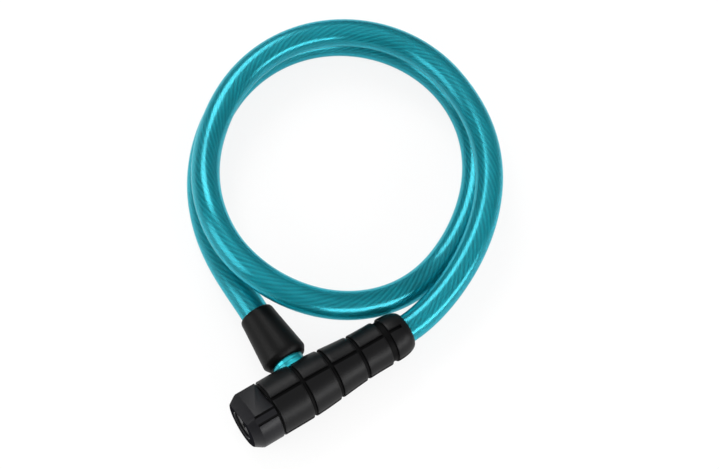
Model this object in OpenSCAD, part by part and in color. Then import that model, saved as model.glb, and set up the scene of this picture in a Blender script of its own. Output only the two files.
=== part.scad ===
// Cable lock: a wound, plastic-coated steel cable with a key-operated lock body on one end
// and a side-entering locking pin, in its grip sleeve, on the other.
// Lock frame used by the modules: X along the body from its key end, Y the way the plug
// leaves, Z up, with the origin on the body's axis. placed() moves it to the part's frame.

/* [Lock body] */
// Length over the cap and the tail (mm)
lock_len = 97.5; // [95:0.5:104]
// Radius over the cover at the key end (mm)
body_r = 15; // [14.6:0.1:16.5]
// Radius of the tail (mm)
tail_r = 12.2; // [11.6:0.1:13.2]
// Where the taper starts and where the tail starts (mm from the key end)
shoulder_x = 30; // [26:1:34]
waist_x = 77; // [70:1:80]
// Rounded end of the tail: its length, and its wall around the cable mouth (mm)
dome_len = 10; // [8:0.5:12]
mouth_lip = 1.2; // [1:0.1:2]
// Axis of the plug from the key end (mm)
plug_x = 37; // [36:0.5:40]

/* [Cover] */
// Thickness of the soft cover on the wide part and on the tail (mm)
cover_wall = 3.3; // [2.6:0.1:3.6]
tail_wall = 2.1; // [1.6:0.1:2.2]
// Grooves: width, depth, the last one's width (mm)
groove_w = 2; // [1.4:0.1:3]
groove_depth = 1.1; // [0.6:0.1:1.3]
last_groove_w = 3.5; // [2:0.1:5]
// Ring grooves: the first one's place, their spacing (mm) and their number
first_groove_x = 34.6; // [33:0.1:38]
groove_pitch = 16.6; // [15:0.1:17.2]
ring_grooves = 4; // [1:1:4]
// Lengthwise grooves: number, width (mm) and the first one's angle from the top (deg)
long_grooves = 4; // [2:1:8]
long_groove_w = 1.5; // [1:0.1:2.5]
long_groove_turn = -1; // [-10:1:45]

/* [Cap] */
// Length of the cap and the gap to the cover (mm)
cap_len = 15.9; // [15:0.1:17]
cap_gap = 0.6; // [0.2:0.1:0.8]
// Flat end face's radius and the length of the chamfered front (mm)
face_r = 11.4; // [10.6:0.1:12]
cap_round = 4.8; // [3:0.1:6]
// Wide facet and narrow facet: edges as angles from the top toward the plug (deg)
facet_from = -14; // [-18:1:-10]
facet_to = 68; // [62:1:70]
strip_from = -34; // [-38:1:-30]
// Depth of the facets' bevel at the end face (mm)
bevel_depth = 3; // [2:0.1:3.2]
// Snap rib between cap and housing: height and width (mm)
snap_h = 0.3; // [0.2:0.05:0.4]
snap_w = 1.2; // [0.8:0.1:1.6]

/* [Lock cylinder] */
// Radius of the key cylinder (mm)
key_r = 6.4; // [6.2:0.05:6.6]
// Wall of its shell (mm)
shell_wall = 1.45; // [1.3:0.05:1.6]
// Recess of the shell's front from the end face (mm)
shell_x = 2.1; // [1.8:0.1:2.6]
// Front flange: thickness and how far it stands out of the shell (mm)
key_flange_t = 1.55; // [1.2:0.05:1.8]
key_flange_out = 0.7; // [0.4:0.05:1]
// Keyway (mm)
keyway_w = 2.6; // [2:0.1:3]
keyway_h = 8; // [7:0.1:8.4]
// Wafers: number, spacing, thickness, width (mm)
wafer_count = 5; // [3:1:5]
wafer_pitch = 2.6; // [2.2:0.1:2.7]
wafer_t = 1; // [0.8:0.05:1.2]
wafer_w = 6; // [5.4:0.1:6.4]
// Travel of a wafer into the shell (mm)
wafer_travel = 0.8; // [0.6:0.05:0.85]

/* [Cam and slide] */
// Throw radius and radius of the cam's driving pin (mm)
cam_e = 3; // [2.9:0.02:3.08]
cam_pin_r = 1.2; // [1:0.05:1.25]
// Thickness of the cam and its square (mm)
cam_t = 2.6; // [2:0.1:2.8]
tang_w = 3.2; // [3:0.05:3.3]
// Thickness of the locking slide (mm)
slide_t = 3; // [2.6:0.1:3.2]
// Rim of the slide around its keyhole (mm)
slide_rim = 1.15; // [0.9:0.05:1.3]

/* [Plug] */
// Radius of the locking pin and of its neck (mm)
pin_r = 4.5; // [4.3:0.05:4.6]
neck_r = 2.8; // [2.5:0.05:3]
// How far the plug stands out from the body's axis (mm)
plug_reach = 47; // [45:0.5:52]
// Grip sleeve: start, largest radius, wall around the cable at its end (mm)
sleeve_y = 17; // [16.6:0.1:18]
sleeve_r = 12; // [11.4:0.1:12.6]
sleeve_lip = 1.8; // [1.4:0.1:2.5]
// Coloured collar: radius (mm)
collar_r = 8.4; // [7.8:0.1:8.8]

/* [Cable] */
// Diameter over the plastic and wall of the plastic (mm)
cable_d = 15; // [14:0.1:15.4]
sheath_wall = 2.8; // [2.7:0.05:3]
// Winding: mean radius at its start, growth and drift a turn (mm)
coil_r = 76.5; // [75:0.5:80]
coil_grow = 2; // [1:0.1:3]
coil_drift = 2.1; // [0:0.1:4]
// Ovalness (mm) and direction of the long way (deg), and the same of a lesser three-lobed waviness
coil_oval = 5.9; // [0:0.1:7]
coil_oval_turn = 40; // [35:1:50]
coil_lobe = 0.8; // [0:0.1:1.5]
coil_lobe_turn = -22; // [-30:1:-15]
// Gap between the two layers (mm)
layer_gap = 1; // [0.8:0.1:2]

/* [Hidden] */
$fn = 48;
fit = 0.1;      // between pieces that are pushed together
run = 0.05;     // radial, where one piece turns in another
loose = 0.2;    // where one piece slides past another
cut = 1;        // overshoot of a cut past the solid's face

// ---- places counted from the plug's axis
cam_before = 13;
slide_before = 8.6;
slide_after = 6.1;
rivet_after = 10.3;
main_after = 13;      // end of the housing's wide part
anchor_after = 17.5;  // start of the anchor ferrule

// ---- cover and housing
mouth_r = cable_d / 2 + mouth_lip;
cover_x = cap_len + cap_gap;
main_r = body_r - cover_wall - fit;
tail_core_r = tail_r - tail_wall - fit;
main_x1 = plug_x + main_after;
core_x1 = lock_len - 7;
split = 0.02;

// ---- lock cylinder, from the front
shell_bore = key_r + run;
shell_r = shell_bore + shell_wall;
shell_seat_r = shell_r + fit;
nose_r = shell_seat_r + 1.8;
nose_x = shell_x + 3;
lip_r = key_r + 0.8;
cam_x = plug_x - cam_before;      // front face of the cam
shell_x1 = cam_x - fit;
key_x0 = shell_x - key_flange_out;
flange_r = key_r + 0.6;
wafer_x0 = shell_x + 3.9;
wafer_top = key_r - 0.15;
wafer_low = -3.9;
slot_low = wafer_low - 0.9;
groove_r = key_r + wafer_travel + 0.2;
wafer_x1 = wafer_x0 + (wafer_count - 1) * wafer_pitch;
shell_pin_x = cam_x - 4;
shell_pin_r = 0.9;

// ---- cam and slide
cam_r = key_r + 0.5;
cam_seat_r = cam_r + 0.4;
cam_x1 = cam_x + cam_t;
throw = 2 * cam_e * sin(45);
slide_x0 = plug_x - slide_before;
slide_x1 = plug_x + slide_after;
slide_flange_t = 2.8;
slide_flange_y = cam_e + cam_pin_r + 1.8;
cam_pin_x1 = slide_x0 + slide_flange_t + loose;
hole_r = pin_r + 0.25;
slot_r = neck_r + loose;
slide_low = -(throw + slot_r + slide_rim + 0.2);
slide_high = hole_r + slide_rim;
drive_low = -throw / 2 - cam_pin_r - 1.68;
drive_high = -throw / 2 + cam_pin_r + 1.92;
web_half = slide_t / 2 + 0.15;

// ---- locking pin and plug
pin_bore_r = pin_r + fit;
pin_tip_y = -8.5;
neck_y = slide_t / 2 + 0.4;
sleeve_end_r = cable_d / 2 + sleeve_lip;
collar_y = main_r + 0.15;
collar_seat = 3;
sleeve_step_y = sleeve_y + collar_seat + loose;
pin_shoulder_y = sleeve_step_y;
shank_r = pin_r - 1;
seal_y = main_r - 3.6;
seal_r = 0.62;
seal_groove_r = pin_r - 1.2;
cross_pin_r = 1.25;

// ---- cable and its ferrules
core_r = cable_d / 2 - sheath_wall - 0.3;
ferrule_r = core_r + 1.7;
ferrule_seat_r = ferrule_r + fit;
core_seat_r = core_r + loose;
sheath_seat_r = cable_d / 2 + loose;
anchor_x0 = plug_x + anchor_after;
anchor_len = 18;
anchor_nose = 5;
anchor_x1 = anchor_x0 + anchor_len;
anchor_pin_x = anchor_x0 + 2.5;
anchor_pin_r = 1.5;
ferrule_y0 = pin_shoulder_y + fit;
shank_y1 = ferrule_y0 + 7.7;
core_y0 = shank_y1 + 1.7;
ferrule_y1 = core_y0 + 6;
cross_y = ferrule_y0 + 3.7;

// ---- rivets of the housing
front_rivet = [shell_pin_x + 1, nose_r, 0.9];            // x, z, radius
rear_rivet = [plug_x + rivet_after, 8, 1.3];

// ================================================================= helpers
module placed() {
  translate([-lock_len / 2, -(plug_reach - body_r) / 2, body_r]) children();
}
module rod_x(r, x0, x1, y = 0, z = 0) {
  translate([x0, y, z]) rotate([0, 90, 0]) cylinder(r = r, h = x1 - x0);
}
module rod_y(r, y0, y1, x = plug_x, z = 0) {
  translate([x, y0, z]) rotate([-90, 0, 0]) cylinder(r = r, h = y1 - y0);
}
module box(a, b) { translate(a) cube(b - a); }
// revolve of [radius, x] points about the body's axis, and of [radius, y] about the plug's
module turned(points) { rotate([0, 90, 0]) rotate_extrude($fn = 72) polygon(points); }
module turned_y(points) {
  translate([plug_x, 0, 0]) rotate([-90, 0, 0]) rotate_extrude($fn = 60) polygon(points);
}
// plate with an outline of [x, z] points, w wide across Y
module plate(points, w) {
  rotate([90, 0, 0]) linear_extrude(height = w, center = true) polygon(points);
}

// ================================================================= cover and cap
dome_x = lock_len - dome_len;
function jacket_r(x) = x < shoulder_x ? body_r
  : x < waist_x ? body_r - (body_r - tail_r) * (1 - cos(180 * (x - shoulder_x) / (waist_x - shoulder_x))) / 2
  : x < dome_x ? tail_r
  : mouth_r + (tail_r - mouth_r) * sqrt(max(0, 1 - pow((x - dome_x) / dome_len, 2)));
taper_steps = 10;
dome_steps = 7;
profile_x = concat([cover_x],
  [for (i = [0:taper_steps]) shoulder_x + (waist_x - shoulder_x) * i / taper_steps],
  [for (i = [0:dome_steps]) dome_x + dome_len * sin(90 * i / dome_steps)]);
long_groove_x1 = lock_len - 4;   // the lengthwise grooves run onto the dome
function ring_x(i) = first_groove_x + i * groove_pitch;

module rubber_jacket() {
  color([0.03, 0.03, 0.035]) difference() {
    turned(concat([for (x = profile_x) [jacket_r(x), x]],
      [[sheath_seat_r + loose, lock_len], [sheath_seat_r + loose, core_x1 + loose],
       [tail_core_r + fit, core_x1 + loose], [tail_core_r + fit, main_x1 + fit],
       [main_r + fit, main_x1 + fit], [main_r + fit, cover_x]]));
    for (i = [0:ring_grooves - 1])
      let (w = i == ring_grooves - 1 ? last_groove_w : groove_w, r = jacket_r(ring_x(i)) - groove_depth)
        turned([[r, ring_x(i) - w / 2], [body_r + cut, ring_x(i) - w / 2],
                [body_r + cut, ring_x(i) + w / 2], [r, ring_x(i) + w / 2]]);
    for (i = [0:long_grooves - 1])
      rotate([-long_groove_turn - 360 * i / long_grooves, 0, 0]) plate(concat(
        [[cover_x - cut, body_r - groove_depth]],
        [for (x = profile_x) if (x > cover_x && x < long_groove_x1) [x, jacket_r(x) - groove_depth]],
        [[long_groove_x1, jacket_r(long_groove_x1) - groove_depth],
         [long_groove_x1, body_r + cut], [cover_x - cut, body_r + cut]]), long_groove_w);
    rod_y(collar_r + 0.4, 0, body_r + cut);
  }
}

facet_mid = (facet_from + facet_to) / 2;
facet_d = body_r * cos((facet_to - facet_from) / 2);
facet_lap = 2;          // the facets meet in an edge inside the round (deg)
strip_mid = (strip_from + facet_from + facet_lap) / 2;
strip_d = body_r * cos((facet_from + facet_lap - strip_from) / 2);
cap_bore_r = nose_r + run;
snap_x = cap_len - 2.5;

module end_cap() {
  color([0.19, 0.19, 0.21]) difference() {
    turned(concat(
      [[face_r, 0], [face_r + 0.8, 0.3], [body_r - 0.6, cap_round - 1.2], [body_r, cap_round]],
      [[body_r, cap_len - 0.15], [body_r - 0.15, cap_len], [cap_bore_r, cap_len],
       [cap_bore_r, snap_x + snap_w / 2], [cap_bore_r - snap_h, snap_x + 0.2],
       [cap_bore_r - snap_h, snap_x - 0.2], [cap_bore_r, snap_x - snap_w / 2],
       [cap_bore_r, nose_x], [shell_seat_r + run, nose_x], [shell_seat_r + run, shell_x - fit],
       [lip_r, shell_x - fit], [lip_r, 0.5], [lip_r + 0.5, 0]]));
    rotate([-facet_mid, 0, 0])
      plate([[0, facet_d - bevel_depth], [cap_round + 0.5, facet_d], [cap_len + cut, facet_d],
             [cap_len + cut, body_r + cut], [-cut, body_r + cut], [-cut, facet_d - bevel_depth]], 2 * body_r);
    rotate([-strip_mid, 0, 0]) box([-cut, -body_r, strip_d], [cap_len + cut, body_r, body_r + cut]);
  }
}

// ================================================================= housing
module housing() {
  difference() {
    union() {
      difference() {
        rod_x(nose_r, nose_x + fit, cover_x);
        turned([[nose_r - snap_h - fit, snap_x - 0.3], [nose_r + cut, snap_x - 0.3 - snap_w],
                [nose_r + cut, snap_x + 0.3 + snap_w], [nose_r - snap_h - fit, snap_x + 0.3]]);
      }
      rod_x(main_r, cap_len + fit, main_x1);
      rod_x(tail_core_r, main_x1 - cut, core_x1);
    }
    rod_x(shell_seat_r, nose_x, cam_x);
    rod_x(cam_seat_r, cam_x - cut, slide_x0 - loose);
    // room for the slide, its driven flange and the locking pin
    box([slide_x0 - loose - cut, -web_half, slide_low - loose],
        [slide_x1 + 0.7, web_half, slide_high + throw + 0.26]);
    box([slide_x0 - loose - cut, -web_half, drive_low - 0.3],
        [cam_pin_x1 + loose, slide_flange_y + 0.3, drive_high + throw + 0.36]);
    rod_y(pin_bore_r, pin_tip_y - 0.5, main_r + cut);
    // seat of the anchor ferrule and of the cable
    rod_x(ferrule_seat_r, anchor_x0 - loose, anchor_x1 + 0.3);
    rod_x(sheath_seat_r, anchor_x1 + 0.2, core_x1 + cut);
    rod_y(anchor_pin_r + run, -tail_core_r - cut, tail_core_r + cut, anchor_pin_x);
    rod_y(shell_pin_r + run, -main_r - cut, 0, shell_pin_x);
    for (s = [-1, 1], v = [front_rivet, rear_rivet])
      rod_y(v[2] + run, -main_r - cut, main_r + cut, v[0], s * v[1]);
  }
}
module housing_half(side) {
  intersection() {
    housing();
    box([0, side > 0 ? split : -body_r, -body_r], [lock_len, side > 0 ? body_r : -split, body_r]);
  }
}
module housing_left() { color([0.55, 0.55, 0.57]) housing_half(-1); }
module housing_right() { color([0.6, 0.6, 0.62]) housing_half(1); }

module housing_rivets() {
  color([0.75, 0.75, 0.77]) for (s = [-1, 1], v = [front_rivet, rear_rivet])
    let (h = sqrt(pow(main_r, 2) - pow(v[1] + v[2], 2)) - 0.15) rod_y(v[2], -h, h, v[0], s * v[1]);
}

// ================================================================= lock cylinder
module cylinder_pin() {
  color([0.7, 0.7, 0.72]) rod_y(shell_pin_r, -main_r + loose, -shell_bore - 0.45, shell_pin_x);
}

module cylinder_sleeve() {
  wall_w = wafer_w + 0.4;
  color([0.8, 0.65, 0.3]) difference() {
    rod_x(shell_r, shell_x, shell_x1);
    rod_x(shell_bore, shell_x - cut, shell_x1 + cut);
    rod_x(flange_r + run, shell_x - cut, key_x0 + key_flange_t + 0.15);
    // the wafers' grooves at the two places of the key
    for (a = [0, 90]) rotate([a, 0, 0]) intersection() {
      box([wafer_x0 - 1, -wall_w / 2, 0], [wafer_x1 + 1 + wafer_t, wall_w / 2, body_r]);
      rod_x(groove_r, wafer_x0 - 1, wafer_x1 + 1 + wafer_t);
    }
    rod_y(shell_pin_r + run, -body_r, 0, shell_pin_x);
  }
}

module wafer_slot(x, grow, low) {
  box([x - grow, -wafer_w / 2 - grow, low], [x + wafer_t + grow, wafer_w / 2 + grow, body_r]);
}

module key_cylinder() {
  color([0.72, 0.72, 0.7]) difference() {
    union() {
      rod_x(flange_r, key_x0, key_x0 + key_flange_t);
      rod_x(key_r, key_x0, cam_x - run);
      intersection() {
        rotate([45, 0, 0]) box([cam_x - cut, -tang_w / 2, -tang_w / 2], [cam_x1, tang_w / 2, tang_w / 2]);
        rod_x(key_r, cam_x - cut, cam_x1 + cut);
      }
    }
    box([key_x0 - cut, -keyway_w / 2, -keyway_h / 2], [wafer_x1 + wafer_t + 1.2, keyway_w / 2, keyway_h / 2]);
    for (i = [0:wafer_count - 1]) let (x = wafer_x0 + i * wafer_pitch) {
      wafer_slot(x, run, slot_low);
      translate([x + wafer_t / 2, 0, -key_r + 0.55]) cylinder(r = 0.5, h = 2, $fn = 24);
    }
    rod_x(0.95, cam_x - 3, cam_x1 + cut);
  }
}

module wafers() {
  color([0.85, 0.7, 0.35]) for (i = [0:wafer_count - 1]) let (x = wafer_x0 + i * wafer_pitch)
    difference() {
      intersection() {
        rod_x(wafer_top, x, x + wafer_t);
        wafer_slot(x, 0, wafer_low);
      }
      box([x - cut, -keyway_w / 2 - 0.2, wafer_low + 1.3],
          [x + wafer_t + cut, keyway_w / 2 + 0.2, wafer_top - 2.2 + 0.25 * (i % 3)]);
    }
}

module wafer_springs() {
  color([0.8, 0.8, 0.8]) for (i = [0:wafer_count - 1])
    translate([wafer_x0 + i * wafer_pitch + wafer_t / 2, 0, -key_r + 0.6])
      cylinder(r = 0.42, h = wafer_low + key_r - 0.65, $fn = 24);
}

module drive_cam() {
  color([0.5, 0.5, 0.55]) difference() {
    union() {
      rod_x(cam_r, cam_x, cam_x1);
      rod_x(cam_pin_r, cam_x1 - cut, cam_pin_x1, throw / 2, -throw / 2);
    }
    rotate([45, 0, 0]) box([cam_x - cut, -tang_w / 2 - run, -tang_w / 2 - run],
                           [cam_x1 + 0.01, tang_w / 2 + run, tang_w / 2 + run]);
  }
}

module cam_screw() {
  color([0.8, 0.8, 0.82]) difference() {
    union() {
      rod_x(0.9, cam_x - 2.8, cam_x1 + 0.5);
      rod_x(1.5, cam_x1 + run, cam_x1 + 1.1);
    }
    box([cam_x1 + 0.7, -0.2, -cut * 2], [cam_x1 + 2, 0.2, cut * 2]);
  }
}

module locking_slide() {
  color([0.7, 0.6, 0.3]) difference() {
    union() {
      box([slide_x0, -slide_t / 2, slide_low], [slide_x1, slide_t / 2, slide_high]);
      box([slide_x0, -slide_t / 2, drive_low], [slide_x0 + slide_flange_t, slide_flange_y, drive_high]);
    }
    rod_y(hole_r, -slide_t, slide_t);
    rod_y(slot_r, -slide_t, slide_t, plug_x, -throw);
    box([plug_x - slot_r, -slide_t, -throw], [plug_x + slot_r, slide_t, 0]);
    // cross slot for the cam's pin
    box([slide_x0 - cut, throw / 2 - cam_pin_r - loose, -throw / 2 - cam_pin_r - 0.15],
        [slide_x0 + slide_flange_t + cut, cam_e + cam_pin_r + 0.3, -throw / 2 + cam_pin_r + 0.15]);
  }
}

// ================================================================= plug
module locking_pin() {
  color([0.82, 0.83, 0.85]) difference() {
    turned_y([[0, pin_tip_y], [pin_r - 1.5, pin_tip_y], [pin_r, pin_tip_y + 2], [pin_r, -neck_y],
      [neck_r, -neck_y], [neck_r, neck_y], [pin_r, neck_y], [pin_r, seal_y - 0.8],
      [seal_groove_r, seal_y - 0.8], [seal_groove_r, seal_y + 0.8], [pin_r, seal_y + 0.8],
      [pin_r, pin_shoulder_y], [shank_r, pin_shoulder_y], [shank_r, shank_y1], [0, shank_y1]]);
    translate([plug_x, cross_y, -body_r]) cylinder(r = cross_pin_r + run, h = 2 * body_r);
  }
}

module pin_seal() {
  color([0.05, 0.05, 0.05]) translate([plug_x, seal_y, 0]) rotate([-90, 0, 0])
    rotate_extrude($fn = 36) translate([seal_groove_r + seal_r + 0.03, 0]) circle(r = seal_r, $fn = 16);
}

module plug_sleeve() {
  r_bore = ferrule_seat_r;
  end_round = 2;
  color([0.04, 0.04, 0.045]) turned_y(concat(
    [[collar_r + fit, sleeve_y], [collar_r + loose, sleeve_y], [sleeve_r - 1.8, sleeve_y + 1],
     [sleeve_r, sleeve_y + 3]],
    [for (a = [0:22.5:90]) [sleeve_end_r - end_round / 2 * (1 - cos(a)),
                            plug_reach - end_round * (1 - sin(a))]],
    [[sheath_seat_r, plug_reach], [sheath_seat_r, ferrule_y1 + fit], [r_bore, ferrule_y1 + fit],
     [r_bore, sleeve_step_y], [collar_r + fit, sleeve_step_y]]));
}

module plug_collar() {
  color([0.1, 0.65, 0.7]) turned_y([[pin_bore_r, collar_y], [collar_r - 0.4, collar_y],
    [collar_r, collar_y + 0.4], [collar_r, sleeve_y + collar_seat], [pin_bore_r, sleeve_y + collar_seat]]);
}

module plug_ferrule() {
  color([0.75, 0.75, 0.76]) difference() {
    turned_y([[shank_r + run, ferrule_y0], [ferrule_r, ferrule_y0], [ferrule_r, ferrule_y1],
      [core_seat_r, ferrule_y1], [core_seat_r, core_y0 - 0.5], [0, core_y0 - 0.5],
      [0, shank_y1 + 0.5], [shank_r + run, shank_y1 + 0.5]]);
    translate([plug_x, cross_y, -body_r]) cylinder(r = cross_pin_r + run, h = 2 * body_r);
  }
}

module plug_cross_pin() {
  color([0.6, 0.6, 0.62]) translate([plug_x, cross_y, -ferrule_r + loose])
    cylinder(r = cross_pin_r, h = 2 * (ferrule_r - loose));
}

// ================================================================= cable
module anchor_ferrule() {
  color([0.74, 0.74, 0.75]) difference() {
    turned([[0, anchor_x0], [ferrule_r - 0.6, anchor_x0], [ferrule_r, anchor_x0 + 0.6],
      [ferrule_r, anchor_x1], [core_seat_r, anchor_x1], [core_seat_r, anchor_x0 + anchor_nose],
      [0, anchor_x0 + anchor_nose]]);
    rod_y(anchor_pin_r + run, -body_r, body_r, anchor_pin_x);
  }
}

module anchor_pin() {
  color([0.6, 0.6, 0.62]) rod_y(anchor_pin_r, -tail_core_r + 0.3, tail_core_r - 0.3, anchor_pin_x);
}

// Centreline, with heights above the floor and the plug's axis at x = 0: straight out of the
// body's mouth, up onto the upper layer, one turn down to the lower layer, most of a second
// turn, and up into the plug's sleeve.
coil_x = 83.4;
coil_y = 94.35;
coil_from = 10;
coil_to = 490;
coil_step = 12;
low_z = cable_d / 2;
high_z = low_z + cable_d + layer_gap;
arch = 9;
// the second turn rises over the first from arch_at, and comes down from drop_at (deg)
arch_at = 125;
arch_turn = 55;
drop_at = 198;
drop_turn = 88;
function ease(t) = let (u = max(0, min(1, t))) u * u * (3 - 2 * u);
function coil_z(a) = low_z
  + (high_z - low_z + arch * ease((a - arch_at) / arch_turn)) * (1 - ease((a - drop_at) / drop_turn));
function coil_at(a) = let (r = coil_r + coil_grow * a / 360 + coil_oval * cos(2 * (a - coil_oval_turn))
                               + coil_lobe * cos(3 * (a - coil_lobe_turn)))
  [coil_x + r * cos(a), coil_y + coil_drift * a / 360 + r * sin(a), coil_z(a)];
function heading(a) = let (d = coil_at(a + 1) - coil_at(a - 1)) [d[0], d[1], 0] / norm([d[0], d[1]]);
function bend(p, u, q, v, t) = (2 * t * t * t - 3 * t * t + 1) * p + (t * t * t - 2 * t * t + t) * u
  + (3 * t * t - 2 * t * t * t) * q + (t * t * t - t * t) * v;
mouth = [lock_len - plug_x, 0, body_r];
grip = [0, ferrule_y1 + cable_d, body_r];
// how far each end's direction carries into the first and the last stretch
mouth_pull = 90;
lead_pull = 234;
tail_pull = 143;
grip_pull = 87;
tail_flat = 0.42;     // share of the last stretch that stays low
lead_rise = 0.85;     // share of the first stretch that climbs
lead_steps = 13;
tail_steps = 13;
lead = [for (i = [1:lead_steps - 1]) let (t = i / lead_steps, way = lead_pull * heading(coil_from),
                                          p = bend(mouth, [mouth_pull, 0, 0], coil_at(coil_from), way, t))
  [p[0], p[1], body_r + (high_z - body_r) * ease(t / lead_rise)]];
turns = [for (a = [coil_from:coil_step:coil_to]) coil_at(a)];
coil_end = coil_from + floor((coil_to - coil_from) / coil_step) * coil_step;
tail = [for (i = [1:tail_steps - 1]) let (t = i / tail_steps, way = tail_pull * heading(coil_end),
                                          p = bend(coil_at(coil_end), way, grip, [0, -grip_pull, 0], t))
  [p[0], p[1], low_z + (body_r - low_z) * ease((t - tail_flat) / (1 - tail_flat))]];
route = concat([mouth], lead, turns, tail, [grip]);
function from_anchor(x) = [x - plug_x, 0, body_r];
core_path = concat([from_anchor(anchor_x0 + anchor_nose + loose)], route, [[0, core_y0, body_r]]);
sheath_path = concat([from_anchor(anchor_x1 + 0.5)], route, [[0, ferrule_y1 + 0.3, body_r]]);

function unit(v) = v / norm(v);
function along(path, i) = unit(path[min(i + 1, len(path) - 1)] - path[max(i - 1, 0)]);
function ring(path, i, r, n) = let (t = along(path, i), s = unit(cross(t, [0, 0, 1])), u = cross(s, t))
  [for (k = [0:n - 1]) path[i] + r * (cos(360 * k / n) * s + sin(360 * k / n) * u)];
// faces between ring i and the next, seen from outside, and the fans that close the ends
function skin(n, m, first, flip) = [for (i = [0:m - 2], k = [0:n - 1], h = [0, 1])
  let (a = first + i * n + k, b = first + i * n + (k + 1) % n, f = h == 0 ? [a, b, a + n] : [b, b + n, a + n])
  flip ? [f[0], f[2], f[1]] : f];

module tube(path, r, n) {
  m = len(path);
  polyhedron(points = [for (i = [0:m - 1]) each ring(path, i, r, n)],
    faces = concat(skin(n, m, 0, false),
      [for (k = [1:n - 2]) [0, k + 1, k]],
      [for (k = [1:n - 2]) [(m - 1) * n, (m - 1) * n + k, (m - 1) * n + k + 1]]), convexity = 8);
}
module pipe(path, r, bore, n) {
  m = len(path);
  q = m * n;
  polyhedron(points = concat([for (i = [0:m - 1]) each ring(path, i, r, n)],
                             [for (i = [0:m - 1]) each ring(path, i, bore, n)]),
    faces = concat(skin(n, m, 0, false), skin(n, m, q, true),
      [for (k = [0:n - 1], h = [0, 1]) let (j = (k + 1) % n) h == 0 ? [k, q + k, j] : [q + k, q + j, j]],
      [for (k = [0:n - 1], h = [0, 1]) let (j = (k + 1) % n, e = q - n)
        h == 0 ? [e + k, e + j, q + e + k] : [q + e + k, e + j, q + e + j]]), convexity = 8);
}

cable_sides = 12;
module cable_core() { color([0.6, 0.6, 0.62]) on_floor() tube(core_path, core_r, cable_sides); }
module cable_sheath() {
  color([0.1, 0.55, 0.62]) on_floor() pipe(sheath_path, cable_d / 2, core_r + 0.3, cable_sides);
}
module on_floor() { translate([plug_x, 0, -body_r]) children(); }

// least gap of the cable to itself, between points over a quarter turn apart on its way,
// and its length
function total(v, i = 0, s = 0) = i >= len(v) - 1 ? s : total(v, i + 1, s + norm(v[i + 1] - v[i]));
fine = [for (i = [0:len(route) - 2], t = [0, 0.25, 0.5, 0.75]) route[i] * (1 - t) + route[i + 1] * t];
apart = 40;
echo(least_self_gap = min([for (i = [0:2:len(fine) - apart - 1]) min([for (j = [i + apart:len(fine) - 1])
  norm(fine[i] - fine[j])])]) - cable_d);
echo(cable_length = total(core_path));

// ================================================================= output
placed() {
  rubber_jacket();
  end_cap();
  housing_left();
  housing_right();
  housing_rivets();
  cylinder_pin();
  cylinder_sleeve();
  key_cylinder();
  wafers();
  wafer_springs();
  drive_cam();
  cam_screw();
  locking_slide();
  locking_pin();
  pin_seal();
  plug_sleeve();
  plug_collar();
  plug_ferrule();
  plug_cross_pin();
  anchor_ferrule();
  anchor_pin();
  cable_core();
  cable_sheath();
}
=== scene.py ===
"""Cable lock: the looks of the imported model, laid out as an add-on."""

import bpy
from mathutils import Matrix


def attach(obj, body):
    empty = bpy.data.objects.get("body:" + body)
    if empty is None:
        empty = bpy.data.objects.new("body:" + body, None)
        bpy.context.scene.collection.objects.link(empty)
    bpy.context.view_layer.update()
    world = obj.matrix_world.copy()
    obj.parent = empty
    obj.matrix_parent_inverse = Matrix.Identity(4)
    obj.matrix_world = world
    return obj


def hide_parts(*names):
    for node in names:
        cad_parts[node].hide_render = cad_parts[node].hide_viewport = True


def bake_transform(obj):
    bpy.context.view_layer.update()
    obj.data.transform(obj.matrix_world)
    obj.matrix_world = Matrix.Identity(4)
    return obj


bl_info = {
    "name": "Cable Lock",
    "version": (1, 0, 0),
    "blender": (4, 5, 0),
    "location": "View3D > Sidebar > Cable Lock",
    "description": "Builds the coated cable, the covered lock body, its cap and the plug's grip",
    "category": "Object",
}

import math

import bpy
from mathutils import Matrix, Vector

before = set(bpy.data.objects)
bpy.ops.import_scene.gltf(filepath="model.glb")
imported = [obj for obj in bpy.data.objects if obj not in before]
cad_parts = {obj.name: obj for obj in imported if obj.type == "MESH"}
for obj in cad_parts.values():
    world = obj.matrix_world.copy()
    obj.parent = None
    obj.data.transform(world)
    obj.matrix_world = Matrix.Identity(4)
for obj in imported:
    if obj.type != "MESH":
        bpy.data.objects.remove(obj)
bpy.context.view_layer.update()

MM = 0.001
WELD = 1e-6     # points nearer than this are one, in metres
# the body's axis in the part's frame, and the key end's place along it
AXIS_Y, AXIS_Z = -0.016, 0.015
KEY_X = -0.04875


# ----------------------------------------------------------------- sizes and finishes
class CableLockSizes(bpy.types.PropertyGroup):
    """Sizes a user would change."""

    cable_d: bpy.props.FloatProperty(
        name="Cable", description="Diameter over the plastic", default=15 * MM, unit="LENGTH")
    rope_d: bpy.props.FloatProperty(
        name="Rope", description="Diameter over the rope's strands", default=8.7 * MM, unit="LENGTH")
    bore_d: bpy.props.FloatProperty(
        name="Bore", description="Bore of the plastic tube", default=9.0 * MM, unit="LENGTH")
    lay: bpy.props.FloatProperty(
        name="Lay", description="Length in which a strand goes once round", default=62 * MM, unit="LENGTH")
    strands: bpy.props.IntProperty(
        name="Strands", description="Outer strands of the rope", default=12, min=3, max=16)
    groove_depth: bpy.props.FloatProperty(
        name="Groove depth", description="Depth of the cover's grooves", default=1.1 * MM, unit="LENGTH")
    edge: bpy.props.FloatProperty(
        name="Edge", description="Rounding of the cover's tiles", default=0.38 * MM, unit="LENGTH")


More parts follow.
